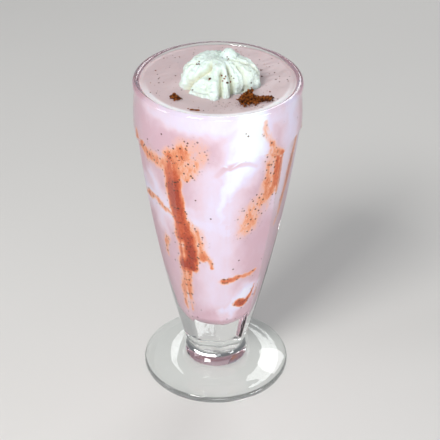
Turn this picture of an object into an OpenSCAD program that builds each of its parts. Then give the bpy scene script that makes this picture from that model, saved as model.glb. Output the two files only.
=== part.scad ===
// Strawberry milkshake in a panelled soda glass on a domed foot, topped with a dollop of
// whipped cream and two small heaps of dried strawberry crumbs.
// Millimetres, +Z up. The origin is the middle of the face that the foot stands on, and
// -Y is the front, where the cream falls in its longest ridges.

/* [Glass] */
// Height of the glass from the table to the top of its lip
glass_h = 195; // [160:1:240]
// Radius of the bowl at its fullest, in the smooth band above the panels
bowl_r = 46.7; // [40:0.1:58]
// How far inside that the bowl lies where its panels stop running straight
shoulder_in = 2.8; // [1.5:0.1:4]
// How far the end of the straight run lies below the lip
shoulder_drop = 55; // [40:1:70]
// Radius at the lower corner of the bowl, above the waist
base_r = 19; // [15:0.1:24]
// Height of that lower corner
base_z = 21.6; // [19:0.1:27]

/* [Lip] */
// How far the lip's outer edge lies inside the bowl's fullest radius
rim_in = 0.2; // [0:0.1:1]
// Thickness of the rounded lip
lip_t = 4.1; // [2.5:0.1:6]
// How far the surface of the drink lies below the top of the lip
fill_gap = 1; // [0.4:0.1:1.8]

/* [Panels] */
// Number of panels round the bowl
panel_count = 9; // [7:1:12]
// Turn of the first ridge from the front, towards +X
panel_turn = 8.5; // [0:0.5:40]
// Radius of the outward bow along each panel's height
panel_bow_r = 1000; // [600:50:1600]
// How far the ridges have sunk below the fullest radius where they end
ridge_fade = 0.3; // [0:0.1:1]
// How far the tops of the arches lie below the lip
ledge_drop = 24.5; // [20:0.5:32]
// Height of each arch from its feet to its top
arch_rise = 5; // [3:0.5:9]

/* [Inside of the glass] */
// Height of the rounded floor of the drink
floor_z = 38; // [30:0.5:42]
// Height at which the floor has turned up into the wall
floor_top_z = 48; // [45:0.5:54]
// Radius of the drink there
floor_r = 16.7; // [13:0.1:18]

/* [Foot] */
// Radius of the foot
foot_r = 44; // [36:0.5:54]
// Radius of the foot's rounded edge
foot_edge_r = 2.6; // [1.6:0.1:3.2]
// Radius of the waist between the foot and the bowl
waist_r = 16.5; // [13:0.1:18.5]
// Height of the waist
waist_z = 17.5; // [14:0.1:18.5]
// Radius of the ring that the hollow under the foot leaves to stand on
foot_hollow_r = 37.8; // [30:0.1:44]
// Depth of the hollow under the foot
foot_hollow = 3; // [1:0.1:3.5]

/* [Whipped cream] */
// Place of the crown of the cream, to the right of the middle
crown_x = 0.5; // [-5:0.5:5]
// Place of the crown, towards the front
crown_front = 6; // [0:0.5:10]
// Reach of the longest lobe from the crown
cream_reach = 20; // [14:0.5:24]
// Height of the crown lobes' middle line above the drink
cream_h = 12; // [9:0.5:15]
// Radius of the curl on top
curl_r = 3.4; // [2.5:0.1:4.5]

/* [Crumb heaps] */
// Radius of the lumps in the right heap's head
crumb_r = 3.6; // [2.5:0.1:4]
// Length of the right heap's tail
crumb_tail = 12; // [8:0.5:14]
// Radius of the lumps in the left heap
crumb_left_r = 2.7; // [2:0.1:3.2]

/* [Hidden] */
$fn = 96;

shoulder_r = bowl_r - shoulder_in;
rim_r = bowl_r - rim_in;
lip_r = lip_t / 2;
lip_z = glass_h - lip_r;
bore_r = rim_r - lip_t;
shoulder_z = glass_h - shoulder_drop;
band_z = glass_h - 20;
neck_z = glass_h - 7;
neck_in = 0.5;
ledge_z = glass_h - ledge_drop;
fill_z = glass_h - fill_gap;
// Slope of the straight run of the bowl, outwards per millimetre of height
bowl_slope = 0.191;
// Angle on the lip's round at which the drink touches it, from its outer side
fill_angle = 180 - asin((lip_r - fill_gap) / lip_r);
panel_step = 360 / panel_count;
// A regular outline's flats lie this share of its corners' radius from the middle
flat_share = cos(panel_step / 2);
// Radius that clears the whole glass, for the tools that cut the panels
clear_r = 1.5 * max(bowl_r, rim_r);
// Glass outside the ridges before the panels are cut, so that each ridge is a clean edge
spare = 1.2;

// A point on a cubic curve with ends p[0] and p[3], pulled towards p[1] and p[2]
function curve_at(p, t) =
    pow(1 - t, 3) * p[0] + 3 * t * pow(1 - t, 2) * p[1] + 3 * t * t * (1 - t) * p[2] + pow(t, 3) * p[3];
function curve(p, steps) = [for (i = [0:steps]) curve_at(p, i / steps)];
// A round from angle a to angle b about a middle point
function round_arc(middle, r, a, b, steps) =
    [for (i = [0:steps]) middle + r * [cos(a + (b - a) * i / steps), sin(a + (b - a) * i / steps)]];
function without_last(points) = [for (i = [0:len(points) - 2]) points[i]];
function flipped(points) = [for (i = [len(points) - 1:-1:0]) points[i]];

foot_edge = round_arc([foot_r - foot_edge_r, foot_edge_r], foot_edge_r, -90, 75, 6);
foot_top_start = foot_edge[len(foot_edge) - 1];
foot_top = curve([foot_top_start, foot_top_start + 10 * [-cos(15), sin(15)],
    [waist_r + 2.5, waist_z / 2], [waist_r, waist_z]], 10);
// The bowl before its panels are cut, from its lower corner to the shoulder and on to the band
bowl_run = curve([[base_r + spare, base_z], [base_r + spare + 8.1, base_z + 30],
    [shoulder_r + spare - 40 * bowl_slope, shoulder_z - 40], [shoulder_r + spare, shoulder_z]], 6);
shoulder_run = curve([[shoulder_r + spare, shoulder_z],
    [shoulder_r + spare + 10 * bowl_slope, shoulder_z + 10],
    [bowl_r, band_z - 18], [bowl_r, band_z]], 6);
function without_repeats(points) =
    [for (i = [0:len(points) - 1]) if (i == 0 || norm(points[i] - points[max(i - 1, 0)]) > 0.001) points[i]];
neck_run = curve([[bowl_r, band_z], [bowl_r, band_z + 5],
    [rim_r - neck_in, neck_z - 4], [rim_r - neck_in, neck_z]], 3);
lip_outside = round_arc([rim_r - lip_r, lip_z], lip_r, 0, 90, 5);
lip_inside = round_arc([rim_r - lip_r, lip_z], lip_r, 90, fill_angle, 3);
lip_wetted = round_arc([rim_r - lip_r, lip_z], lip_r, fill_angle, 180, 3);
inner_wall = curve([[floor_r, floor_top_z], [floor_r + 9, floor_top_z + 30],
    [bore_r - 2.4, lip_z - 43], [bore_r, lip_z]], 12);
inner_floor = [for (i = [0:7])
    [floor_r * sin(90 * i / 7), floor_top_z - (floor_top_z - floor_z) * cos(90 * i / 7)]];
// The surface that glass and drink share, from the middle of the floor up to the drink's edge
wetted = concat(without_last(inner_floor), without_last(inner_wall), flipped(lip_wetted));
// The hollow under the foot: flat in the middle, then curving down to the standing ring
foot_underside = concat([[0, foot_hollow]], [for (i = [0:5])
    [foot_hollow_r * (i + 1) / 6, foot_hollow * (1 - pow(i / 5, 2))]]);

// A solid of revolution whose section stands in the middle of a panel
module turned_solid() {
    rotate([0, 0, panel_turn + panel_step / 2 - 90])
        rotate_extrude()
            children();
}

// Half section of the glass, before its panels are cut
module glass_section() {
    polygon(without_repeats(concat(foot_underside, foot_edge, foot_top, bowl_run, shoulder_run,
        neck_run, lip_outside, lip_inside, flipped(wetted))));
}

// Everything outside one panel's face, above the waist and under the panel's arch. The face is
// straight across and bows outwards along its height, through the two ends of its middle line.
module panel_tool() {
    low_end = [flat_share * base_r, base_z];
    high_end = [flat_share * (bowl_r - ridge_fade), ledge_z];
    half_chord = (high_end - low_end) / 2;
    inwards = [-half_chord[1], half_chord[0]] / norm(half_chord);
    bow_middle = low_end + half_chord + inwards * sqrt(pow(panel_bow_r, 2) - pow(norm(half_chord), 2));
    half_w = (bowl_r - ridge_fade) * sin(panel_step / 2);
    arch_r = (half_w * half_w + arch_rise * arch_rise) / (2 * arch_rise);
    intersection() {
        rotate([90, 0, 90])
            translate([0, 0, -clear_r])
                linear_extrude(2 * clear_r)
                    difference() {
                        translate([0, waist_z])
                            square([clear_r, glass_h - waist_z]);
                        translate(bow_middle)
                            circle(panel_bow_r, $fn = 720);
                    }
        rotate([90, 0, 180])
            linear_extrude(clear_r)
                union() {
                    translate([-arch_r, 0])
                        square([2 * arch_r, ledge_z - arch_r]);
                    translate([0, ledge_z - arch_r])
                        circle(arch_r);
                }
    }
}

module glass() {
    color("azure", 0.4)
        difference() {
            turned_solid()
                glass_section();
            for (i = [0:panel_count - 1])
                rotate([0, 0, 180 + panel_turn + (i + 0.5) * panel_step])
                    panel_tool();
        }
}

module milkshake() {
    color("pink")
        turned_solid()
            polygon(concat(wetted, [[0, fill_z]]));
}

// A lobe of cream: balls on a line that falls from the crown to the drink. heading is its
// direction from the front towards +X, from_r and to_r the balls' radii at its two ends,
// and crest the height of its first ball's middle.
module lobe(heading, reach, from_r, to_r, crest) {
    steps = 4;
    for (i = [0:steps - 1])
        hull()
            for (u = [i / steps, (i + 1) / steps])
                rotate([0, 0, heading])
                    translate([0, -2 - (reach - 2) * u, crest * (1 - pow(u, 1.7)) + 1])
                        sphere(from_r + (to_r - from_r) * u, $fn = 20);
}

module whipped_cream() {
    color("mintcream")
        intersection() {
            translate([crown_x, -crown_front, fill_z]) {
                lobe(-4, cream_reach - 0.5, 5.6, 3.6, cream_h - 0.5);
                lobe(27, cream_reach - 2.5, 4.8, 2.8, cream_h - 1.5);
                lobe(-38, cream_reach - 3.5, 6, 4.6, cream_h - 4.5);
                lobe(-74, cream_reach - 1, 7.6, 6.4, cream_h - 1);
                lobe(-122, cream_reach - 4, 8, 6.6, cream_h - 1.5);
                lobe(176, cream_reach - 4, 8, 6.8, cream_h - 2);
                lobe(128, cream_reach - 4, 8, 6.6, cream_h - 1.5);
                lobe(80, cream_reach - 5.5, 9, 8.6, cream_h - 2);
                // The body of the dollop, between the lobes
                hull() {
                    sphere(0.86 * cream_reach, $fn = 24);
                    translate([1, -2, cream_h - 2])
                        sphere(8.4, $fn = 24);
                }
                hull() {
                    translate([8, 1, cream_h + 1.8])
                        sphere(curl_r + 0.6, $fn = 20);
                    translate([4.8, 3.4, cream_h + 8.2 - curl_r])
                        sphere(curl_r, $fn = 20);
                }
            }
            translate([-bowl_r, -bowl_r, fill_z])
                cube([2 * bowl_r, 2 * bowl_r, glass_h]);
        }
}

// Lumps of uneven size in a row, each sunk by a share of its radius and cut off at the drink
module crumb_row(start, end, start_r, end_r, lumps) {
    for (i = [0:lumps - 1]) {
        along = i / (lumps - 1);
        r = (start_r + (end_r - start_r) * along) * (1 + 0.12 * sin(137 * i));
        middle = start + (end - start) * along + [0, 0.5 * cos(137 * i)];
        translate([middle[0], middle[1], fill_z - 0.25 * r])
            sphere(r);
    }
}

module above_drink() {
    intersection() {
        children();
        translate([-bowl_r, -bowl_r, fill_z])
            cube([2 * bowl_r, 2 * bowl_r, glass_h]);
    }
}

module crumb_heap_right() {
    color("firebrick")
        above_drink() {
            crumb_row([15.4, -25.6], [19.2, -23], crumb_r, crumb_r * 0.8, 3);
            crumb_row([19.2, -23], [17.2 + crumb_tail, -22], crumb_r * 0.8, crumb_r * 0.5, 5);
        }
}

module crumb_heap_left() {
    color("firebrick")
        above_drink()
            crumb_row([-24, -20.2], [-21.2, -22.6], crumb_left_r, crumb_left_r * 0.8, 3);
}

glass();
milkshake();
whipped_cream();
crumb_heap_right();
crumb_heap_left();
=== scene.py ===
"""A strawberry milkshake in a panelled soda glass, with whipped cream and dried crumbs."""
import math

import bpy
import numpy as np
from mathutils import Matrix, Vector


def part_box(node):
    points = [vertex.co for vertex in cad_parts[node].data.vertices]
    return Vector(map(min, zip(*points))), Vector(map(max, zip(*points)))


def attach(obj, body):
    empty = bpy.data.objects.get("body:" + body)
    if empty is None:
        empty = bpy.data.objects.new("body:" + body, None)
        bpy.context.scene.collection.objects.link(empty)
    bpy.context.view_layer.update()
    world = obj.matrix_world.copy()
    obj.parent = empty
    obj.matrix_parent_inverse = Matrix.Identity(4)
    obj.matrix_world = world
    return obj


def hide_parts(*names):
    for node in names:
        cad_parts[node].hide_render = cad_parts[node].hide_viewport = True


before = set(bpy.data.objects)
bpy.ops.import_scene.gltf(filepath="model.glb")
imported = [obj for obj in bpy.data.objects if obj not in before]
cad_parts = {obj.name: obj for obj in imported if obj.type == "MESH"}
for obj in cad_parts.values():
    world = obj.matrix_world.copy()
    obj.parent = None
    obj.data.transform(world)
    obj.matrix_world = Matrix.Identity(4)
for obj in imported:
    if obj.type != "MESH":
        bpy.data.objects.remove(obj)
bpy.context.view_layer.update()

# ---------------------------------------------------------------- sizes, in millimetres
MM = 0.001
_, glass_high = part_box("glass")
drink_low, drink_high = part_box("milkshake")

GLASS_H = glass_high.z / MM
BOWL_R = glass_high.x / MM
FLOOR_Z = drink_low.z / MM
FILL_Z = drink_high.z / MM

SHOULDER_R = BOWL_R - 2.8
SHOULDER_Z = GLASS_H - 55
BAND_Z = GLASS_H - 20
NECK_Z = GLASS_H - 7
RIM_R = BOWL_R - 0.2
LIP_R = 2.05
BORE_R = RIM_R - 2 * LIP_R
LIP_Z = GLASS_H - LIP_R
BASE_R = 19.0
BASE_Z = 21.6
WAIST_R = 16.5
WAIST_Z = 17.5
NECK_IN = 0.5
BOWL_SLOPE = 0.191
FOOT_R = 44.0
FOOT_EDGE_R = 2.6
HOLLOW_R = 37.8
HOLLOW = 3.0
FLOOR_R = 16.7
FLOOR_TOP_Z = 48.0

PANELS = 9
PANEL_COLUMNS = 32
PANEL_TURN = 8.5
PANEL_BOW_R = 1000.0
CROWDING = 0.14
RIDGE_SOFTNESS = 0.35
CUT_SOFTNESS = 0.25
RIDGE_FADE = 0.3
LEDGE_Z = GLASS_H - 24.5
ARCH_RISE = 5.0
LEDGE_SLOPE = 3.0
SPARE = 1.2

CROWN = np.array([0.5, -6.0])

PANEL_STEP = 2 * math.pi / PANELS
FLAT_SHARE = math.cos(PANEL_STEP / 2)


# ---------------------------------------------------------------- mesh helpers
def cubic(ends_and_pulls, steps):
    """Points on a cubic curve from the first to the last of four points, pulled towards the two
    between: (1-t)^3 p0 + 3t(1-t)^2 p1 + 3t^2(1-t) p2 + t^3 p3."""
    t = np.linspace(0, 1, steps + 1)[:, None]
    p = np.array(ends_and_pulls, float)
    return (1 - t)**3 * p[0] + 3 * t * (1 - t)**2 * p[1] + 3 * t**2 * (1 - t) * p[2] + t**3 * p[3]


def round_arc(middle, radius, start, end, steps):
    """Points on a round about middle, from angle start to angle end in degrees."""
    a = np.radians(np.linspace(start, end, steps + 1))
    return np.stack([middle[0] + radius * np.cos(a), middle[1] + radius * np.sin(a)], 1)


def join_rows(*parts):
    """One outline from several, with points that repeat the one before left out."""
    points = np.concatenate(parts)
    step = np.linalg.norm(np.diff(points, axis=0), axis=1)
    return points[np.concatenate([[True], step > 1e-4])]


def ripple(points, size, seed, waves=28):
    """A smooth random field, mostly between -1 and 1: the sum of sine waves that run in random
    directions, with lengths near size, times half the square root of 2 / waves."""
    rng = np.random.default_rng(seed)
    ways = rng.normal(size=(waves, 3))
    ways /= np.linalg.norm(ways, axis=1, keepdims=True)
    lengths = size * rng.uniform(0.7, 1.5, waves)
    phases = rng.uniform(0, 2 * math.pi, waves)
    flat = points.reshape(-1, 3)
    total = np.zeros(len(flat))
    for way, length, phase in zip(ways, lengths, phases):
        total += np.sin(flat @ way * 2 * math.pi / length + phase)
    return (total * math.sqrt(2 / waves) * 0.5).reshape(points.shape[:-1])


def smooth_step(low, high, value):
    """0 below low, 1 above high, and 3t^2 - 2t^3 between."""
    t = np.clip((value - low) / (high - low), 0, 1)
    return t * t * (3 - 2 * t)


def make_mesh(name, vertices, faces, attributes=None):
    """A smooth-shaded piece from vertices in millimetres, with a float attribute for each name."""
    mesh = bpy.data.meshes.new(name)
    mesh.from_pydata((vertices * MM).tolist(), [], faces)
    mesh.update()
    for key, values in (attributes or {}).items():
        layer = mesh.attributes.new(key, "FLOAT", "POINT")
        layer.data.foreach_set("value", np.asarray(values, np.float32).ravel())
    mesh.shade_smooth()
    piece = bpy.data.objects.new(name, mesh)
    bpy.context.scene.collection.objects.link(piece)
    return piece


def closed_grid(rings, start_pole, end_pole):
    """Vertices and faces of a closed skin: a grid of rings (ring, place round it, xyz) with a fan
    to a pole at each end, its faces turned outwards."""
    rows, cols = rings.shape[:2]
    index = np.arange(rows * cols).reshape(rows, cols)
    nxt = np.roll(index, -1, axis=1)
    quads = np.stack([index[:-1], nxt[:-1], nxt[1:], index[1:]], -1).reshape(-1, 4)
    first, last = rows * cols, rows * cols + 1
    start_fan = np.stack([np.full(cols, first), nxt[0], index[0]], 1)
    end_fan = np.stack([np.full(cols, last), index[-1], nxt[-1]], 1)
    vertices = np.concatenate([rings.reshape(-1, 3), [start_pole], [end_pole]])
    fans = np.concatenate([start_fan, end_fan])
    corners = vertices[np.concatenate([quads[:, [0, 1, 2]], quads[:, [0, 2, 3]], fans])]
    if np.einsum("ij,ij->", corners[:, 0], np.cross(corners[:, 1], corners[:, 2])) < 0:
        quads, fans = quads[:, ::-1], fans[:, ::-1]
    return vertices, quads.tolist() + fans.tolist()


def with_poles(values):
    """Values on a grid of rings as one row, the two poles added as the means of the end rings."""
    return np.concatenate([values.ravel(), [values[0].mean()], [values[-1].mean()]])


# ---------------------------------------------------------------- glass
def azimuths():
    """Angles round the glass from the front towards +X, in whole panels, closer at the ridges."""
    u = np.linspace(-1, 1, PANEL_COLUMNS, endpoint=False)
    across = PANEL_STEP / 2 * (u + CROWDING * np.sin(math.pi * u))
    middles = math.radians(PANEL_TURN) + PANEL_STEP * (np.arange(PANELS) + 0.5)
    return (middles[:, None] + across[None]).ravel()


def inner_wall():
    """The bowl's inside from the lip down to the middle of the floor: a cubic curve and a
    quarter of an ellipse."""
    wall = cubic([[BORE_R, LIP_Z], [BORE_R - 2.4, LIP_Z - 43],
                  [FLOOR_R + 9, FLOOR_TOP_Z + 30], [FLOOR_R, FLOOR_TOP_Z]], 60)
    a = np.linspace(math.pi / 2, 0, 15)
    floor = np.stack([FLOOR_R * np.sin(a), FLOOR_TOP_Z - (FLOOR_TOP_Z - FLOOR_Z) * np.cos(a)], 1)
    return join_rows(wall, floor)


def glass_outline():
    """Half the glass's section before its panels: under the foot, round its edge, up its dome to
    the waist, up the bowl and the band, over the lip and down the inside."""
    s = np.linspace(0.02, 1, 16)
    under = np.stack([HOLLOW_R * s, HOLLOW * (1 - np.clip((s * 6 - 1) / 5, 0, 1)**2)], 1)
    edge = round_arc([FOOT_R - FOOT_EDGE_R, FOOT_EDGE_R], FOOT_EDGE_R, -90, 75, 14)
    lean = math.radians(15)
    dome = cubic([edge[-1], edge[-1] + 10 * np.array([-math.cos(lean), math.sin(lean)]),
                  [WAIST_R + 2.5, WAIST_Z / 2], [WAIST_R, WAIST_Z]], 24)
    corner = np.linspace([WAIST_R, WAIST_Z], [BASE_R + SPARE, BASE_Z], 22)
    start = SHOULDER_R + SPARE
    bowl = cubic([corner[-1], [BASE_R + SPARE + 8.1, BASE_Z + 30],
                  [start - 40 * BOWL_SLOPE, SHOULDER_Z - 40], [start, SHOULDER_Z]], 56)
    shoulder = cubic([[start, SHOULDER_Z], [start + 10 * BOWL_SLOPE, SHOULDER_Z + 10],
                      [BOWL_R, BAND_Z - 18], [BOWL_R, BAND_Z]], 80)
    neck = cubic([[BOWL_R, BAND_Z], [BOWL_R, BAND_Z + 5],
                  [RIM_R - NECK_IN, NECK_Z - 4], [RIM_R - NECK_IN, NECK_Z]], 10)
    lip = round_arc([RIM_R - LIP_R, LIP_Z], LIP_R, 0, 180, 18)
    rise = cubic([neck[-1], neck[-1] + [0, 2], lip[0] - [0, 2], lip[0]], 5)
    return join_rows(under, edge, dome, corner, bowl, shoulder, neck, rise, lip, inner_wall()[:-1])


def panel_face(z):
    """How far a panel's middle line lies from the axis at height z: a bow of PANEL_BOW_R through
    its ends at the base corner and the ledge."""
    low = np.array([FLAT_SHARE * BASE_R, BASE_Z])
    high = np.array([FLAT_SHARE * (BOWL_R - RIDGE_FADE), LEDGE_Z])
    half = (high - low) / 2
    reach = np.linalg.norm(half)
    inwards = np.array([-half[1], half[0]]) / reach
    middle = low + half + inwards * math.sqrt(PANEL_BOW_R**2 - reach**2)
    return middle[0] + np.sqrt(PANEL_BOW_R**2 - (z - middle[1])**2)


def soft_min(a, b, softness):
    """The smaller of a and b, rounded off over softness."""
    h = np.clip(0.5 + 0.5 * (b - a) / softness, 0, 1)
    return b + (a - b) * h - softness * h * (1 - h)


def panelled(r, z, azimuth):
    """The bowl's outer radius r at height z with the panels taken off: under each panel's arch the
    smaller of r and the flat face, whose distance is panel_face(z) / cos(angle from its middle)."""
    turn = (azimuth - math.radians(PANEL_TURN)) % PANEL_STEP - PANEL_STEP / 2
    face = panel_face(z)
    near = face / np.cos(turn)
    beyond = face / np.cos(PANEL_STEP - np.abs(turn))
    flat = soft_min(near, beyond, RIDGE_SOFTNESS)
    half_w = (BOWL_R - RIDGE_FADE) * math.sin(PANEL_STEP / 2)
    arch_r = (half_w**2 + ARCH_RISE**2) / (2 * ARCH_RISE)
    across = np.clip(np.abs(flat * np.sin(turn)), 0, arch_r)
    arch_z = LEDGE_Z - arch_r + np.sqrt(arch_r**2 - across**2)
    under_arch = smooth_step(0, LEDGE_SLOPE, arch_z - z)
    cut = soft_min(r, flat, CUT_SOFTNESS)
    return r + (np.minimum(cut, r) - r) * under_arch


def build_glass():
    """The outline turned round the axis, its rings pulled in to the panels on the outside between
    the waist and the ledge."""
    outline = glass_outline()
    turn = azimuths()
    r = np.repeat(outline[:, :1], len(turn), 1)
    z = np.repeat(outline[:, 1:], len(turn), 1)
    lip_top = int(np.argmax(outline[:, 1]))
    outside = (np.arange(len(outline)) < lip_top) & (outline[:, 1] > WAIST_Z) & (outline[:, 1] < BAND_Z)
    r[outside] = panelled(r[outside], z[outside], turn[None])
    rings = np.stack([r * np.sin(turn), -r * np.cos(turn), z], -1)
    return make_mesh("soda_glass", *closed_grid(rings, [0, 0, HOLLOW], [0, 0, FLOOR_Z]))


# ---------------------------------------------------------------- drink
# Syrup runs down the inside of the glass. Each point of a run is its azimuth in degrees from the
# front, its height in millimetres, the run's half width there and its strength.
SYRUP_RUNS = [
    # the broad run on the left, from its cap down to the dark clot, and the thread below it
    [(-36, 165, 4, 0.55), (-37, 156, 4.6, 0.85), (-38, 145, 4.4, 0.95), (-37.5, 133, 4, 0.95),
     (-34.5, 124, 4.4, 0.95), (-31, 115, 4.8, 0.9), (-28.5, 105, 4.8, 0.95), (-29, 97, 4, 1.0),
     (-32.5, 89, 4.2, 1.25)],
    [(-34, 88, 3.2, 0.85), (-38, 80, 2.6, 0.55), (-41, 70, 2.4, 0.5), (-45, 60, 2.6, 0.5),
     (-48, 53, 2, 0.4)],
    [(-12, 176, 4, 0.26), (-23, 172, 6, 0.34), (-31, 166, 6.5, 0.46), (-35, 158, 6, 0.6)],
    [(-11, 170, 4, 0.22), (-17, 165, 5.5, 0.3), (-24, 158, 5, 0.36), (-28, 153, 3.5, 0.4)],
    [(-28, 122, 4, 0.42), (-22, 111, 5, 0.48), (-17, 102, 4, 0.5), (-11, 95, 2.8, 0.6),
     (-3, 89.5, 1.2, 0.5)],
    # pale bands that cross to it from the left
    [(-77, 168, 2, 0.35), (-74, 160, 3.6, 0.42), (-66, 157, 4.6, 0.42), (-55, 158, 4.6, 0.4),
     (-42, 157, 4, 0.42)],
    [(-84, 129, 2.6, 0.55), (-70, 127, 3, 0.56), (-56, 127, 2.4, 0.5), (-43, 124, 2.2, 0.45)],
    [(-58, 105, 2, 0.34), (-64, 97, 2.4, 0.4), (-66, 90, 1.6, 0.3)],
    [(-92, 165, 2.5, 0.45), (-96, 150, 3, 0.5), (-93, 135, 2.4, 0.45)],
    # the run on the right, with its pale pool
    [(34, 188, 1.3, 0.22), (36, 181, 1.6, 0.3), (41, 174, 2.2, 0.4), (45, 169, 2.6, 0.5),
     (51, 161, 2.6, 0.6), (53, 153, 2.4, 0.62), (53, 146, 2.4, 0.6), (50, 138, 3, 0.5)],
    [(41, 168, 2.6, 0.34), (45, 152, 3, 0.36), (44, 138, 5, 0.4), (38, 132, 7, 0.4), (33, 126, 7.5, 0.4),
     (29, 119, 6, 0.36), (26, 113, 4, 0.28)],
    [(90, 166, 2.4, 0.5), (86, 154, 3.4, 0.62), (83, 142, 3.8, 0.66), (79, 131, 3.6, 0.62),
     (75, 119, 3, 0.55), (68, 109, 2, 0.4)],
    # two blobs low on the right
    [(13, 79.5, 2.2, 0.8), (19, 79.5, 1.9, 0.6), (33, 80.5, 2.4, 0.46), (50, 80.5, 2, 0.42)],
    [(33, 58.5, 2.1, 0.85), (47, 58, 2.3, 0.85), (57, 61, 1.5, 0.7), (61, 67, 0.9, 0.6)],
    # the back
    [(150, 178, 5, 0.3), (153, 166, 5, 0.6), (158, 150, 5, 0.9), (160, 130, 4.4, 1.0),
     (157, 112, 4, 0.9), (160, 96, 2.6, 0.7), (163, 82, 1.8, 0.5)],
    [(-150, 182, 2, 0.3), (-146, 168, 4, 0.5), (-142, 150, 5, 0.55), (-146, 134, 5, 0.45),
     (-152, 124, 3, 0.4)],
    [(-120, 118, 2.2, 0.6), (-128, 100, 3, 0.75), (-131, 84, 2.4, 0.6), (-128, 70, 1.4, 0.4)],
    [(118, 96, 3, 0.45), (126, 86, 4, 0.5), (136, 80, 2, 0.4)],
]

# Painted shade under the front panel's arch, where the glass's ledge darkens the milk, written the same
# way; it turns the whitened milk lavender.
ARCH_PAINTED_SHADE = [
    [(0, 157, 1.6, 0.5), (7, 162.5, 2.2, 0.85), (15, 164, 2.2, 0.9), (24, 163, 1.6, 0.7),
     (31, 160, 1, 0.4)],
]

# Paler places on the milk's wall, written the same way. Those on the front and the right are painted light,
# where the wall is brightly lit; the rest are paler milk.
PALE_AND_LIT_SWIRLS = [
    [(24, 192, 13, 0.95), (24, 180, 14, 1.0), (22, 168, 13, 1.0), (16, 157, 11, 0.9), (8, 146, 6, 0.75),
     (4, 134, 4, 0.7), (3, 124, 2, 0.6)],
    [(2, 150, 14, 0.5), (0, 128, 14, 0.5), (-1, 105, 12, 0.45), (0, 85, 12, 0.42), (2, 64, 12, 0.42)],
    [(-52, 189, 7, 0.42), (-20, 189, 8, 0.6), (10, 188, 9, 0.7), (45, 188, 7, 0.5), (66, 184, 6, 0.45)],
    [(62, 190, 9, 0.6), (64, 170, 9, 0.5), (66, 150, 9, 0.42), (60, 128, 8, 0.35)],
    [(45, 66, 8, 0.75), (34, 60, 7, 0.75), (20, 52, 5, 0.6)],
    [(-66, 144, 6, 0.5), (-60, 134, 5, 0.5), (-62, 112, 6, 0.42)],
    [(-165, 170, 14, 0.7), (-170, 140, 12, 0.6), (178, 100, 8, 0.5)],
    [(110, 170, 10, 0.5), (112, 130, 9, 0.5)],
]


def wall_radius(z):
    """Radius of the drink at height z, from the curve of the bowl's inside."""
    wall = inner_wall()[::-1]
    return np.interp(z, wall[:, 1], wall[:, 0])


def run_strength(runs, azimuth, z, inner, outer):
    """How strong the runs are at a place on the wall: over all stretches of all runs, the greatest
    of strength times a step of distance over half width that falls from 1 at inner to 0 at outer."""
    strength = np.zeros(np.broadcast(azimuth, z).shape)
    radius = wall_radius(z)
    for run in runs:
        for (a0, z0, w0, s0), (a1, z1, w1, s1) in zip(run[:-1], run[1:]):
            x0, x1 = math.radians(a0), math.radians(a1)
            dx = ((azimuth - x0 + math.pi) % (2 * math.pi) - math.pi) * radius
            dz = z - z0
            lx, lz = (x1 - x0) * radius, z1 - z0
            t = np.clip((dx * lx + dz * lz) / (lx**2 + lz**2), 0, 1)
            distance = np.hypot(dx - t * lx, dz - t * lz)
            width = w0 + (w1 - w0) * t
            here = (s0 + (s1 - s0) * t) * (1 - smooth_step(inner, outer, distance / width))
            strength = np.maximum(strength, here)
    return strength


INTO_WALL = 0.15
DRINK_COLUMNS = 300
TOP_ROWS = 56
WALL_ROWS = 262
TOP_DIP = 0.45


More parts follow.
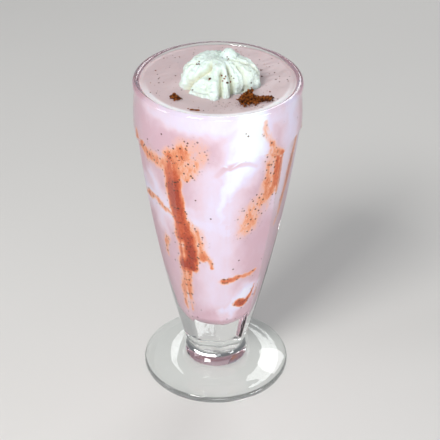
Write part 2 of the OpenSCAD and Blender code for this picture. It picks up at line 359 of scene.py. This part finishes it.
def build_drink():
    """The drink: a level top with soft unevenness that climbs a little at the glass, then a wall
    that reaches just into the glass, and a rounded floor. Its points carry how much syrup lies on
    them, how pale the milk is together with painted light on the lit front of the wall, painted
    shade under the front panel's arch and a painted highlight along the top's front edge, and
    whether they are on top."""
    turn = np.linspace(0, 2 * math.pi, DRINK_COLUMNS, endpoint=False)
    edge_r = RIM_R - LIP_R - math.sqrt(LIP_R**2 - (FILL_Z - LIP_Z)**2)
    top_r = np.linspace(0.4, edge_r, TOP_ROWS)
    wall = inner_wall()
    spaced = np.linspace(0, len(wall) - 1, WALL_ROWS)
    wall = np.stack([np.interp(spaced, np.arange(len(wall)), wall[:, k]) for k in (0, 1)], 1)[:-1]
    r = np.concatenate([top_r, wall[:, 0] + INTO_WALL])
    z = np.concatenate([np.full(len(top_r), FILL_Z - TOP_DIP), wall[:, 1]])
    r = np.repeat(r[:, None], len(turn), 1)
    z = np.repeat(z[:, None], len(turn), 1)
    x, y = r * np.sin(turn), -r * np.cos(turn)
    top = np.arange(len(r)) < len(top_r)
    level = np.stack([x[top], y[top], np.zeros_like(x[top])], -1)
    z[top] += 0.12 * ripple(level, 14, 3) + 0.05 * ripple(level, 4, 4)
    z[top] += TOP_DIP * smooth_step(edge_r - 2.2, edge_r, r[top])**2
    rings = np.stack([x, y, z], -1)
    on_wall = np.arange(len(r)) >= len(top_r)
    syrup, pale = np.zeros_like(r), np.zeros_like(r)
    wall_points = rings[on_wall]
    aside = (0.9 * ripple(wall_points, 9, 41) + 0.45 * ripple(wall_points, 3, 42)) / r[on_wall]
    up = 1.6 * ripple(wall_points, 11, 43) + 0.7 * ripple(wall_points, 4, 44)
    syrup[on_wall] = run_strength(SYRUP_RUNS, turn[None] + aside, z[on_wall] + up, 0.25, 1.7)
    # painted light: where the wall is brightly lit, these swirls whiten the milk
    pale[on_wall] = run_strength(PALE_AND_LIT_SWIRLS, turn[None] + 1.4 * aside, z[on_wall] + 1.2 * up, 0.1, 1.6)
    # painted shade under the front panel's arch takes paleness away from the milk
    arch_painted_shade = run_strength(ARCH_PAINTED_SHADE, turn[None], z[on_wall], 0.4, 1.3)
    pale[on_wall] = pale[on_wall] * (1 - 0.85 * arch_painted_shade)
    # painted highlight: a white band along the front edge of the top, for the glass lip's glint
    front_edge_highlight = np.clip(1.6 * np.cos(turn), 0, 1)[None] * smooth_step(edge_r - 4.4, edge_r - 2.8, r[top])
    pale[top] = 0.9 * front_edge_highlight
    on_top = np.repeat(top[:, None], len(turn), 1) * 1.0
    skin = closed_grid(rings, [0, 0, FILL_Z - TOP_DIP], [0, 0, FLOOR_Z - INTO_WALL])
    looks = {"syrup": with_poles(syrup), "pale": with_poles(pale), "on_top": with_poles(on_top)}
    return make_mesh("milkshake_drink", *skin, looks)


# ---------------------------------------------------------------- whipped cream
CREAM_ROWS = 190
CREAM_COLUMNS = 460
CROWN_REACH = 16.6
# The curl on top: its way from the middle, its height and width, and the depth, place and width of
# the dip round it, in millimetres and degrees.
CURL_WAY = np.array([0.30, 0.10, 0.95])
CURL_H, CURL_W = 3.0, 11
DIP_H, DIP_AT, DIP_W = 1.1, 17, 5
# How far the dollop reaches on the drink: heading in degrees from the front, millimetres.
FOOTPRINT = [(-180, 15.5), (-150, 16.5), (-120, 18.5), (-95, 21), (-80, 22.2), (-60, 20.5), (-40, 19.5),
             (-20, 18.5), (-4, 18.8), (14, 17), (32, 15.5), (52, 18), (82, 22), (105, 21.5), (130, 18.5),
             (155, 16.5), (180, 15.5)]
FOOTPRINT_BLUR = 23
# Lobes: height in millimetres, heading, rise, and how wide and tall in degrees.
LOBES = [(0.8, -82, 30, 24, 26), (-1.2, -95, 8, 30, 14), (2.2, -8, 57, 40, 12), (-1.5, -12, 36, 26, 8),
         (0.9, -70, 62, 20, 10), (2.4, 74, 30, 30, 28), (1.0, 140, 30, 20, 25), (1.2, -140, 28, 20, 25)]
# Ridges stand out and folds cut in: millimetres, a line of (rise, heading), and its width.
RIDGES = [(1.7, [(0, -9), (30, -8), (50, -4)], 7), (1.5, [(0, 14), (30, 15), (52, 12)], 6)]
FOLDS = [(2.7, [(0, -60), (18, -52), (36, -38), (50, -24)], 6), (2.5, [(0, 3), (24, 3), (40, 4)], 3.6),
         (2.6, [(0, 27), (30, 27), (52, 24)], 4.6), (2.0, [(0, 108), (30, 112), (55, 118)], 6),
         (1.9, [(0, -112), (30, -108), (55, -96)], 6), (1.7, [(0, 170), (30, 172), (55, 165)], 7),
         (1.5, [(4, 50), (30, 54), (60, 50)], 3.5), (1.3, [(6, 84), (30, 80), (62, 60)], 4),
         (1.2, [(34, -26), (46, -20), (56, -24)], 5), (0.9, [(4, -92), (26, -88), (46, -70)], 3.5)]
# Rows of small flutes: depth, their hill, how many in a turn, and their slant.
FLUTES = [(0.55, (72, 34, 34, 30), 12, -0.35), (0.45, (-80, 25, 26, 30), 9, 0.5)]
# The small steps low on the front: their depth and their hill.
SKIRT = (0.5, (-34, 5, 26, 9))


def hill(heading, rise, at_heading, at_rise, wide, tall):
    """A bell over the dollop: exp(-(turn / wide)^2 - (climb / tall)^2), in degrees."""
    turn = (heading - at_heading + 180) % 360 - 180
    return np.exp(-(turn / wide)**2 - ((rise - at_rise) / tall)**2)


def fold(heading, rise, line, wide):
    """A fold along a line of (rise, heading) points: exp(-(turn from the line / wide)^2), faded out
    beyond the line's ends."""
    rises, headings = np.array(line, float).T
    turn = (heading - np.interp(rise, rises, headings) + 180) % 360 - 180
    ends = smooth_step(rises[0] - 6, rises[0], rise) * (1 - smooth_step(rises[-1], rises[-1] + 10, rise))
    return np.exp(-(turn / wide)**2) * ends


def cream_footprint(heading):
    """How far the dollop reaches on the drink at each heading: the lengths of FOOTPRINT joined by
    straight lines and averaged under a bell-shaped window."""
    knots, reaches = np.array(FOOTPRINT, float).T
    window = np.hanning(FOOTPRINT_BLUR)
    three_turns = np.tile(np.interp(heading[0], knots, reaches), 3)
    blurred = np.convolve(three_turns, window / ((FOOTPRINT_BLUR - 1) / 2), "same")
    count = heading.shape[1]
    return blurred[count:2 * count][None]


def cream_surface():
    """The dollop as rays from its middle: for each heading and rise the ray's length is an outline
    that runs from the footprint to the crown, plus lobes, ridges and the curl, less folds, ruffles
    and flutes, plus small lumps. Gives the skin, the middle and how deep each place is creased."""
    rise = np.degrees(np.arcsin(np.linspace(-0.06, 0.9995, CREAM_ROWS)))[:, None]
    heading = np.linspace(-180, 180, CREAM_COLUMNS, endpoint=False)[None]
    above = np.clip(rise, 0, 90)
    footprint = cream_footprint(heading)
    reach = footprint + (CROWN_REACH - footprint) * np.sin(np.radians(above))**1.3
    reach = reach + 0.9 * np.sin(np.radians(2 * above))
    for height, *place in LOBES:
        reach = reach + height * hill(heading, rise, *place)
    for height, line, wide in RIDGES:
        reach = reach + height * fold(heading, rise, line, wide)
    deep = 0
    for depth, line, wide in FOLDS:
        deep = deep + depth * fold(heading, rise, line, wide)
    low = 1 - smooth_step(8, 40, rise)
    ruffle = np.sin(np.radians(17 * heading + 3 * rise)) + 0.6 * np.sin(np.radians(29 * heading - 4 * rise))
    deep = deep + 0.25 * ruffle * (0.35 + 0.65 * low)
    for depth, place, turns, slant in FLUTES:
        flutes = np.abs(np.sin(np.radians(turns * (heading + slant * rise))))**0.7
        deep = deep + depth * hill(heading, rise, *place) * flutes
    skirt = hill(heading, rise, *SKIRT[1])
    deep = deep + SKIRT[0] * skirt * np.sin(np.radians(46 * rise + 2 * heading))
    ray = np.stack([np.cos(np.radians(rise)) * np.sin(np.radians(heading)),
                    -np.cos(np.radians(rise)) * np.cos(np.radians(heading)),
                    np.sin(np.radians(rise)) + 0 * heading], -1)
    curl_way = CURL_WAY / np.linalg.norm(CURL_WAY)
    apart = np.degrees(np.arccos(np.clip(ray @ curl_way, -1, 1)))
    reach = reach + CURL_H * np.exp(-(apart / CURL_W)**2) - DIP_H * np.exp(-((apart - DIP_AT) / DIP_W)**2)
    middle = np.array([CROWN[0], CROWN[1] + 2, FILL_Z])
    skin = middle + ray * (reach - deep)[..., None]
    lumps = 0.42 * ripple(skin, 6, 11) + 0.26 * ripple(skin, 2.6, 12) + 0.11 * ripple(skin, 1.2, 13)
    skin = skin + ray * lumps[..., None]
    strokes = np.stack([heading * 0.5 + 0 * rise, rise * 0.05 + 0 * heading, 0 * skin[..., 0]], -1)
    skin = skin + ray * (0.10 * ripple(strokes, 2.2, 14))[..., None]
    return skin, middle, np.clip(deep / 2.5, 0, 1)


def build_cream():
    """The dollop's skin closed under the drink's surface."""
    skin, middle, creases = cream_surface()
    top = skin[-1].mean(0)
    mesh = closed_grid(skin, middle - [0, 0, 1.5], top)
    return make_mesh("whipped_cream_dollop", *mesh, {"crease": with_poles(creases)})


# ---------------------------------------------------------------- crumbs and specks
# Heaps of crumbs: a line of places, the spread at its two ends, the height at its two ends, how many
# crumbs and the seed. The right heap has a head, a tail and some spilt in front.
RIGHT_HEAP = [([(13.6, -25.6), (15.5, -24), (17.4, -22)], (1.6, 1.7), (5.6, 6.4), 760, 21),
              ([(17, -23.8), (22.5, -23.4), (28.5, -22.4)], (1.2, 1.1), (3.2, 1.8), 400, 22),
              ([(12.4, -27), (18, -26.6), (22, -25.4)], (1.5, 1.2), (0.5, 0.4), 130, 24)]
LEFT_HEAP = [([(-23.4, -20.2), (-22.6, -21.6), (-21.4, -23.4)], (0.9, 0.9), (2.2, 1.6), 380, 23)]
CRUMB_FLATNESS = 0.75
# Trails of larger flakes in the cream's folds: heading, upper rise and lower rise in degrees, and
# how many flakes.
CREAM_TRAILS = [(10, 40, 26, 5), (32, 36, 26, 3), (-20, 34, 30, 3), (-60, 52, 46, 3), (60, 74, 66, 3),
                (60, 14, 10, 1), (-45, 8, 4, 1), (150, 50, 40, 2), (-150, 40, 30, 2)]
# The dark flake near the lip: its two ends, and how many bits it is made of.
LIP_FLAKE = [(-14, -34.5), (-10, -35), 5]
LOOSE_FLAKES = 10
# Fine dust: on the cream, all over the drink, and spilt in front of the right heap.
CREAM_DUST = 60
TOP_DUST = 150
HEAP_DUST = 70


def crumb_corners():
    """The twelve corners and twenty faces of an icosahedron, its corners at (0, +-1, +-g) and its
    turns, where g is the golden ratio, scaled to lie one from the middle."""
    g = (1 + math.sqrt(5)) / 2
    corners = np.array([(-1, g, 0), (1, g, 0), (-1, -g, 0), (1, -g, 0), (0, -1, g), (0, 1, g),
                        (0, -1, -g), (0, 1, -g), (g, 0, -1), (g, 0, 1), (-g, 0, -1), (-g, 0, 1)])
    faces = np.array([(0, 11, 5), (0, 5, 1), (0, 1, 7), (0, 7, 10), (0, 10, 11), (1, 5, 9),
                      (5, 11, 4), (11, 10, 2), (10, 7, 6), (7, 1, 8), (3, 9, 4), (3, 4, 2),
                      (3, 2, 6), (3, 6, 8), (3, 8, 9), (4, 9, 5), (2, 4, 11), (6, 2, 10),
                      (8, 6, 7), (9, 8, 1)])
    return corners / np.linalg.norm(corners[0]), faces


def build_crumbs(name, places, sizes, flatness, seed):
    """Many small uneven lumps as one piece: each an icosahedron with its corners pushed in and out
    at random, stretched, turned about the vertical and set at its place."""
    rng = np.random.default_rng(seed)
    corners, faces = crumb_corners()
    count = len(places)
    shape = corners[None] * rng.uniform(0.7, 1.25, (count, len(corners), 1))
    stretch = rng.uniform(0.7, 1.4, (count, 1, 3))
    stretch[..., 2] *= flatness
    shape = shape * stretch
    a = rng.uniform(0, 2 * math.pi, count)
    turn = np.zeros((count, 3, 3))
    turn[:, 0, 0] = turn[:, 1, 1] = np.cos(a)
    turn[:, 0, 1], turn[:, 1, 0] = -np.sin(a), np.sin(a)
    turn[:, 2, 2] = 1
    shape = np.einsum("nij,nkj->nki", turn, shape) * np.asarray(sizes)[:, None, None]
    vertices = (shape + np.asarray(places)[:, None]).reshape(-1, 3)
    all_faces = (faces[None] + len(corners) * np.arange(count)[:, None, None]).reshape(-1, 3)
    piece = make_mesh(name, vertices, all_faces.tolist())
    piece.data.shade_flat()
    return piece


def heap_places(line, spread, height, count, seed):
    """Places for crumbs along a broken line: a random place on it, pushed aside by a bell curve
    of the given spread, and raised at random under the heap's rounded top."""
    rng = np.random.default_rng(seed)
    line = np.array(line, float)
    t = rng.uniform(0, len(line) - 1, count)
    k = np.minimum(t.astype(int), len(line) - 2)
    f = (t - k)[:, None]
    spine = line[k] * (1 - f) + line[k + 1] * f
    width = spread[0] + (spread[1] - spread[0]) * t / (len(line) - 1)
    aside = rng.normal(0, 1, (count, 2)) * width[:, None]
    dome = np.exp(-(aside**2).sum(1) / (2 * width**2))
    rise = (height[0] + (height[1] - height[0]) * t / (len(line) - 1)) * dome * rng.uniform(0.1, 1, count)
    return np.concatenate([spine + aside, (FILL_Z + rise)[:, None]], 1)


def on_cream(skin, middle, headings, rises):
    """Places on the dollop's skin seen from its middle at the given headings and rises."""
    ray = skin - middle
    ray = ray / np.linalg.norm(ray, axis=-1, keepdims=True)
    places = []
    for heading, rise in zip(np.radians(headings), np.radians(rises)):
        level = math.cos(rise)
        way = np.array([level * math.sin(heading), -level * math.cos(heading), math.sin(rise)])
        nearest = np.unravel_index(np.argmax(ray @ way), ray.shape[:2])
        places.append(skin[nearest])
    return np.array(places)


def build_specks():
    """Loose flakes on the drink and on the cream: larger ones in trails, near the lip and scattered,
    and dust at random."""
    rng = np.random.default_rng(61)
    skin, middle, _ = cream_surface()
    dust_heading = rng.uniform(-180, 180, CREAM_DUST)
    dust_rise = rng.uniform(12, 85, CREAM_DUST)
    cream_dust = on_cream(skin, middle, dust_heading, dust_rise)
    headings = np.concatenate([np.full(n, heading) for heading, _, _, n in CREAM_TRAILS])
    rises = np.concatenate([np.linspace(upper, lower, n) for _, upper, lower, n in CREAM_TRAILS])
    headings = headings + rng.normal(0, 2.5, len(headings))
    cream_flakes = on_cream(skin, middle, headings, rises)
    lip_flake = np.linspace(LIP_FLAKE[0], LIP_FLAKE[1], LIP_FLAKE[2])
    around = rng.uniform(0, 2 * math.pi, LOOSE_FLAKES)
    loose_flakes = rng.uniform(24, 37, (LOOSE_FLAKES, 1)) * np.stack([np.sin(around), -np.cos(around)], 1)
    angle = rng.uniform(0, 2 * math.pi, TOP_DUST)
    radius = 40 * np.sqrt(rng.uniform(0.05, 1, TOP_DUST))
    dust = np.stack([radius * np.sin(angle), -radius * np.cos(angle)], 1)
    spilt = np.stack([rng.uniform(-4, 26, HEAP_DUST), rng.normal(-30, 2.4, HEAP_DUST)], 1)
    flat = np.concatenate([dust, spilt, lip_flake, loose_flakes])
    level = np.full((len(flat), 1), FILL_Z - 0.35)
    places = np.concatenate([cream_dust, cream_flakes, np.concatenate([flat, level], 1)])
    sizes = np.concatenate([rng.uniform(0.10, 0.26, CREAM_DUST),
                            rng.uniform(0.4, 0.9, len(cream_flakes)),
                            rng.uniform(0.12, 0.34, TOP_DUST), rng.uniform(0.1, 0.24, HEAP_DUST),
                            rng.uniform(0.6, 0.9, len(lip_flake)), rng.uniform(0.35, 0.55, LOOSE_FLAKES)])
    return build_crumbs("strawberry_specks", places, sizes, 0.6, 62)


# ---------------------------------------------------------------- materials
# Linear colours. A ramp's stops are its place and then red, green, blue.
# The milk's ramp runs from its own pink to near white; its whitest end is painted light for the brightly
# lit front of the wall.
MILK_STOPS = [(0.0, 0.62, 0.40, 0.47), (0.3, 0.72, 0.55, 0.64), (0.6, 0.74, 0.67, 0.83),
              (1.0, 0.86, 0.92, 0.95)]
TOP_DARK = (0.60, 0.46, 0.47)
TOP_LIGHT = (0.68, 0.55, 0.57)
# A painted highlight along the front edge of the drink's top.
FRONT_EDGE_HIGHLIGHT = (0.95, 0.95, 0.99)
SYRUP_STOPS = [(0.0, 0.84, 0.56, 0.50), (0.3, 0.84, 0.42, 0.25), (0.55, 0.68, 0.20, 0.085),
               (0.78, 0.56, 0.095, 0.025), (1.0, 0.36, 0.035, 0.008)]
FLECK = (0.085, 0.014, 0.003)
CREAM_STOPS = [(0.3, 0.66, 0.76, 0.69), (0.6, 0.72, 0.84, 0.80)]
# Painted shade for the cream's creases.
CREAM_CREASE_SHADE = (0.66, 0.66, 0.50)
CRUMB_DARK = (0.045, 0.009, 0.0008)
CRUMB_LIGHT = (0.30, 0.085, 0.012)
FLOOR_STOPS = [(0.0, 0.70, 0.69, 0.67), (1.0, 0.76, 0.75, 0.73)]


def new_material(name):
    """An empty node material with a Principled shader and its output."""
    material = bpy.data.materials.new(name)
    material.use_nodes = True
    nodes, links = material.node_tree.nodes, material.node_tree.links
    return material, nodes, links, nodes["Principled BSDF"]


def colour_ramp(nodes, stops):
    """A colour ramp with (place, red, green, blue) stops in linear colour."""
    ramp = nodes.new("ShaderNodeValToRGB")
    elements = ramp.color_ramp.elements
    while len(elements) < len(stops):
        elements.new(1.0)
    for element, (place, *rgb) in zip(elements, stops):
        element.position = place
        element.color = (*rgb, 1)
    return ramp


def mixed(nodes, links, factor, a, b):
    """A colour mix of a and b, each a socket or a linear colour, by a factor socket."""
    mix = nodes.new("ShaderNodeMix")
    mix.data_type = "RGBA"
    links.new(factor, mix.inputs[0])
    for value, socket in ((a, mix.inputs[6]), (b, mix.inputs[7])):
        if isinstance(value, tuple):
            socket.default_value = (*value, 1)
        else:
            links.new(value, socket)
    return mix.outputs[2]


def noise(nodes, links, coordinates, scale, detail=4.0, roughness=0.55):
    """A noise texture on the given coordinates."""
    node = nodes.new("ShaderNodeTexNoise")
    node.inputs["Scale"].default_value = scale
    node.inputs["Detail"].default_value = detail
    node.inputs["Roughness"].default_value = roughness
    links.new(coordinates, node.inputs["Vector"])
    return node.outputs["Fac"]


def stretched(nodes, links, coordinates, scale):
    """The coordinates multiplied by a scale along each axis."""
    node = nodes.new("ShaderNodeVectorMath")
    node.operation = "MULTIPLY"
    links.new(coordinates, node.inputs[0])
    node.inputs[1].default_value = scale
    return node.outputs[0]


def flecks(nodes, links, coordinates, scale, radius, share):
    """A mask of round flecks: in cells of the given scale, a dot of the given radius in the share of
    cells picked by their random colour."""
    cells = nodes.new("ShaderNodeTexVoronoi")
    cells.inputs["Scale"].default_value = scale
    links.new(coordinates, cells.inputs["Vector"])
    dot = nodes.new("ShaderNodeMapRange")
    dot.inputs["From Min"].default_value = radius * 1.3
    dot.inputs["From Max"].default_value = radius * 0.7
    links.new(cells.outputs["Distance"], dot.inputs["Value"])
    pick = math_node(nodes, links, "LESS_THAN", cells.outputs["Color"], share)
    return math_node(nodes, links, "MULTIPLY", dot.outputs[0], pick)


def math_node(nodes, links, operation, a, b=None, clamp=False):
    """A math node on sockets or numbers."""
    node = nodes.new("ShaderNodeMath")
    node.operation = operation
    node.use_clamp = clamp
    for value, socket in ((a, node.inputs[0]), (b, node.inputs[1])):
        if value is None:
            continue
        if isinstance(value, (int, float)):
            socket.default_value = value
        else:
            links.new(value, socket)
    return node.outputs[0]


def object_coordinates(nodes):
    """The coordinates of the piece itself, in metres."""
    return nodes.new("ShaderNodeTexCoord").outputs["Object"]


def add_bump(nodes, links, shader, height, strength, distance):
    """A bump of the given height socket on the shader's normal."""
    bump = nodes.new("ShaderNodeBump")
    bump.inputs["Strength"].default_value = strength
    bump.inputs["Distance"].default_value = distance
    links.new(height, bump.inputs["Height"])
    links.new(bump.outputs["Normal"], shader.inputs["Normal"])


def glass_material():
    """Clear glass that lets light through to what it holds."""
    material, nodes, links, shader = new_material("clear_glass")
    shader.inputs["Base Color"].default_value = (0.97, 0.985, 0.98, 1)
    shader.inputs["Roughness"].default_value = 0.0
    shader.inputs["IOR"].default_value = 1.5
    shader.inputs["Transmission Weight"].default_value = 1.0
    waves = noise(nodes, links, object_coordinates(nodes), 60, 3)
    add_bump(nodes, links, shader, waves, 0.25, 0.0004)
    clear = nodes.new("ShaderNodeBsdfTransparent")
    clear.inputs["Color"].default_value = (0.95, 0.965, 0.96, 1)
    path = nodes.new("ShaderNodeLightPath")
    pick = math_node(nodes, links, "MAXIMUM", path.outputs["Is Shadow Ray"], path.outputs["Is Diffuse Ray"])
    mix = nodes.new("ShaderNodeMixShader")
    links.new(pick, mix.inputs[0])
    links.new(shader.outputs[0], mix.inputs[1])
    links.new(clear.outputs[0], mix.inputs[2])
    links.new(mix.outputs[0], nodes["Material Output"].inputs["Surface"])
    return material


def drink_material():
    """Pale pink milk, dustier on top, with syrup on the wall that goes from peach at its edges to
    a deep orange red, dotted with dark flecks. Painted light whitens the lit front of the wall,
    painted shade turns it lavender under the front panel's arch, and a painted highlight runs
    along the top's front edge."""
    material, nodes, links, shader = new_material("milkshake")
    place = object_coordinates(nodes)
    cloud = noise(nodes, links, place, 45, 5)
    pale = nodes.new("ShaderNodeAttribute")
    pale.attribute_name = "pale"
    wisp = noise(nodes, links, stretched(nodes, links, place, (1, 1, 0.4)), 150, 6, 0.65)
    drift = math_node(nodes, links, "MULTIPLY", math_node(nodes, links, "SUBTRACT", wisp, 0.5), 0.3)
    # this paleness carries painted light and painted shade as well as paler milk
    paleness_and_light = math_node(nodes, links, "ADD", pale.outputs["Fac"], drift, True)
    milks = colour_ramp(nodes, MILK_STOPS)
    links.new(paleness_and_light, milks.inputs[0])
    wall = milks.outputs[0]
    top = mixed(nodes, links, cloud, TOP_DARK, TOP_LIGHT)
    on_top = nodes.new("ShaderNodeAttribute")
    on_top.attribute_name = "on_top"
    # painted highlight along the top's front edge
    top_with_highlight = mixed(nodes, links, pale.outputs["Fac"], top, FRONT_EDGE_HIGHLIGHT)
    milk = mixed(nodes, links, on_top.outputs["Fac"], wall, top_with_highlight)
    syrup = nodes.new("ShaderNodeAttribute")
    syrup.attribute_name = "syrup"
    torn = noise(nodes, links, stretched(nodes, links, place, (1, 1, 0.3)), 260, 8, 0.8)
    broad = noise(nodes, links, place, 38, 4, 0.6)
    fine_tear = math_node(nodes, links, "MULTIPLY", math_node(nodes, links, "SUBTRACT", torn, 0.5), 1.5)
    wide_tear = math_node(nodes, links, "MULTIPLY", math_node(nodes, links, "SUBTRACT", broad, 0.5), 0.9)
    gate = math_node(nodes, links, "MULTIPLY", syrup.outputs["Fac"], 3.0, True)
    uneven = math_node(nodes, links, "MULTIPLY", math_node(nodes, links, "ADD", fine_tear, wide_tear), gate)
    amount = math_node(nodes, links, "ADD", syrup.outputs["Fac"], uneven, True)
    tint = colour_ramp(nodes, SYRUP_STOPS)
    links.new(amount, tint.inputs[0])
    cover = nodes.new("ShaderNodeMapRange")
    cover.inputs["From Min"].default_value = 0.04
    cover.inputs["From Max"].default_value = 0.42
    links.new(amount, cover.inputs["Value"])
    streaked = mixed(nodes, links, cover.outputs[0], milk, tint.outputs[0])
    near_syrup = math_node(nodes, links, "MULTIPLY", syrup.outputs["Fac"], 4.0, True)
    small = math_node(nodes, links, "MULTIPLY", flecks(nodes, links, place, 520, 0.3, 0.42), near_syrup)
    stray = flecks(nodes, links, place, 230, 0.12, 0.3)
    seen = math_node(nodes, links, "MAXIMUM", small, stray)
    colour = mixed(nodes, links, seen, streaked, FLECK)
    links.new(colour, shader.inputs["Base Color"])
    shader.inputs["Roughness"].default_value = 0.35
    shader.inputs["IOR"].default_value = 1.36
    shader.inputs["Subsurface Weight"].default_value = 0.25
    shader.inputs["Subsurface Radius"].default_value = (1.0, 0.6, 0.5)
    shader.inputs["Subsurface Scale"].default_value = 0.003
    fine = noise(nodes, links, place, 600, 3)
    add_bump(nodes, links, shader, fine, 0.15, 0.0002)
    return material


def cream_material():
    """Whipped cream: near white with a cool cast, a little darker in patches, with painted shade,
    darker and warmer, in its creases, and a soft moist sheen."""
    material, nodes, links, shader = new_material("whipped_cream")
    place = object_coordinates(nodes)
    patch = noise(nodes, links, place, 120, 5)
    ramp = colour_ramp(nodes, CREAM_STOPS)
    links.new(patch, ramp.inputs[0])
    crease = nodes.new("ShaderNodeAttribute")
    crease.attribute_name = "crease"
    # painted shade: deeper creases get more of it
    depth = math_node(nodes, links, "MULTIPLY", crease.outputs["Fac"], 0.8, True)
    colour = mixed(nodes, links, depth, ramp.outputs[0], CREAM_CREASE_SHADE)
    links.new(colour, shader.inputs["Base Color"])
    shader.inputs["Roughness"].default_value = 0.42
    shader.inputs["Subsurface Weight"].default_value = 0.35
    shader.inputs["Subsurface Radius"].default_value = (1.0, 1.0, 0.8)
    shader.inputs["Subsurface Scale"].default_value = 0.002
    fine = noise(nodes, links, place, 900, 6, 0.65)
    add_bump(nodes, links, shader, fine, 0.35, 0.0003)
    return material


def crumb_material(name, dark, light):
    """Dried crumbs in two browns that change from crumb to crumb."""
    material, nodes, links, shader = new_material(name)
    place = object_coordinates(nodes)
    patch = noise(nodes, links, place, 700, 4)
    ramp = colour_ramp(nodes, [(0.4, *dark), (0.62, *light)])
    links.new(patch, ramp.inputs[0])
    links.new(ramp.outputs[0], shader.inputs["Base Color"])
    shader.inputs["Roughness"].default_value = 0.7
    shader.inputs["Specular IOR Level"].default_value = 0.15
    return material


def floor_material():
    """A plain pale floor, a little uneven in tone."""
    material, nodes, links, shader = new_material("pale_floor")
    place = object_coordinates(nodes)
    patch = noise(nodes, links, place, 3, 3)
    ramp = colour_ramp(nodes, FLOOR_STOPS)
    links.new(patch, ramp.inputs[0])
    links.new(ramp.outputs[0], shader.inputs["Base Color"])
    shader.inputs["Roughness"].default_value = 0.7
    return material


# ---------------------------------------------------------------- build
def finish_piece(piece, material, replaced=None):
    """Gives a piece its material and its body, and hides the CAD node it stands for."""
    piece.data.materials.clear()
    piece.data.materials.append(material)
    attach(piece, "root")
    if replaced:
        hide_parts(replaced)
    return piece


finish_piece(build_glass(), glass_material(), "glass")
finish_piece(build_drink(), drink_material(), "milkshake")
finish_piece(build_cream(), cream_material(), "whipped_cream")

crumb_look = crumb_material("strawberry_crumbs", CRUMB_DARK, CRUMB_LIGHT)
rng = np.random.default_rng(5)
for side, heap, largest, seed in (("right", RIGHT_HEAP, 0.62, 31), ("left", LEFT_HEAP, 0.5, 32)):
    places = np.concatenate([heap_places(*part) for part in heap])
    sizes = rng.uniform(0.2, largest, len(places))
    crumbs = build_crumbs(f"crumb_heap_{side}_crumbs", places, sizes, CRUMB_FLATNESS, seed)
    finish_piece(crumbs, crumb_look, f"crumb_heap_{side}")

finish_piece(build_specks(), crumb_look, "milkshake")

# ---------------------------------------------------------------- floor, lights, camera
FLOOR_REACH = 3.0
# Lights: name, place and aim in metres, width, height, power and colour.
LIGHTS = [("key", (-0.5, -0.72, 1.05), (0, 0, 0.15), 0.4, 0.4, 11.4, (1.0, 0.99, 0.97)),
          ("low", (0.12, -1.1, 0.28), (0, 0, 0.11), 0.45, 0.4, 3.9, (0.97, 0.98, 1.0)),
          ("side", (0.95, -0.55, 0.14), (0, 0, 0.10), 0.35, 0.26, 4.9, (0.98, 0.98, 1.0)),
          ("fill", (-1.1, -0.3, 0.45), (0, 0, 0.12), 0.35, 0.7, 3, (0.97, 0.98, 1.0)),
          ("back", (0.3, 1.0, 0.9), (0, 0, 0.12), 0.6, 0.4, 4, (1, 1, 1))]
STUDIO_GREY = (0.55, 0.57, 0.60, 1)
STUDIO_STRENGTH = 0.30
# Camera: place and aim in metres, lens and sensor in millimetres, shift in frames, roll in degrees.
CAMERA_PLACE = (0, -0.6479, 0.5261)
CAMERA_AIM = (0, 0, 0.0975)
LENS = 109.1
SENSOR_WIDTH = 36
SHIFT = (0.0071, 0.0165)
ROLL = 0.45

floor_mesh = bpy.data.meshes.new("floor")
floor_corners = [(x * FLOOR_REACH, y * FLOOR_REACH, 0) for x, y in ((-1, -1), (1, -1), (1, 1), (-1, 1))]
floor_mesh.from_pydata(floor_corners, [], [(0, 1, 2, 3)])
floor = bpy.data.objects.new("floor", floor_mesh)
bpy.context.scene.collection.objects.link(floor)
floor.data.materials.append(floor_material())


def aimed(obj, place, target):
    """Puts obj at place with its -Z axis towards target and its Y axis up."""
    obj.location = place
    obj.rotation_euler = (Vector(target) - Vector(place)).to_track_quat("-Z", "Y").to_euler()
    bpy.context.scene.collection.objects.link(obj)


def area_light(name, place, target, width, height, power, colour):
    """A soft rectangular light at place, aimed at target."""
    lamp = bpy.data.lights.new(name, "AREA")
    lamp.shape = "RECTANGLE"
    lamp.size, lamp.size_y = width, height
    lamp.energy = power
    lamp.color = colour
    aimed(bpy.data.objects.new(name, lamp), place, target)


for light in LIGHTS:
    area_light(*light)

world = bpy.data.worlds.new("studio")
world.use_nodes = True
world.node_tree.nodes["Background"].inputs["Color"].default_value = STUDIO_GREY
world.node_tree.nodes["Background"].inputs["Strength"].default_value = STUDIO_STRENGTH
bpy.context.scene.world = world
bpy.context.scene.view_settings.view_transform = "Standard"

camera_data = bpy.data.cameras.new("camera")
camera_data.lens = LENS
camera_data.sensor_width = SENSOR_WIDTH
camera_data.shift_x, camera_data.shift_y = SHIFT
camera_data.clip_start = 0.01
camera = bpy.data.objects.new("camera", camera_data)
aimed(camera, CAMERA_PLACE, CAMERA_AIM)
camera.rotation_euler.rotate_axis("Z", math.radians(ROLL))
bpy.context.scene.camera = camera
